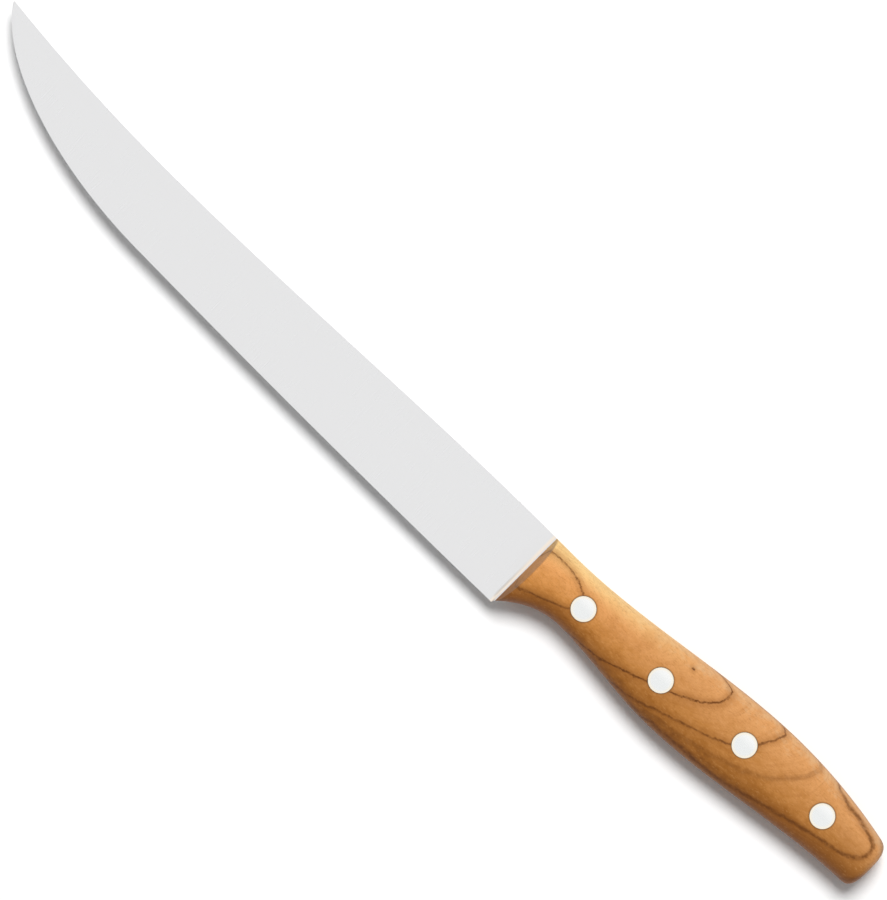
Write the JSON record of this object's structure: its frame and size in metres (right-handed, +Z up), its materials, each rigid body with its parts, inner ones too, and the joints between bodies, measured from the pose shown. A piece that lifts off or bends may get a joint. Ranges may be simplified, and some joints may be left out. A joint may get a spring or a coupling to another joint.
{
  "type": "carving knife",
  "caption": "Slim full-tang carving knife with an upswept point and riveted wooden handle scales, lying on its side.",
  "frame": {"origin": "under the middle of the knife's bounding box, on the surface that the knife lies on", "axes": "+X along the knife from the point to the butt, +Y across it from the cutting edge to the spine, +Z up out of the blade's left side"},
  "size_m": [0.3486, 0.035, 0.015],
  "materials": {
    "blade_steel": "fine ground satin",
    "handle_wood": "oiled, smooth sanded",
    "rivet_metal": "ground flush and polished"
  },
  "bodies": {
    "root": {"blade": "blade_steel", "scale_left": "handle_wood", "scale_right": "handle_wood", "rivet_1_tube": "rivet_metal", "rivet_1_post": "rivet_metal", "rivet_2_tube": "rivet_metal", "rivet_2_post": "rivet_metal", "rivet_3_tube": "rivet_metal", "rivet_3_post": "rivet_metal", "rivet_4_tube": "rivet_metal", "rivet_4_post": "rivet_metal"}
  },
  "joints": []
}
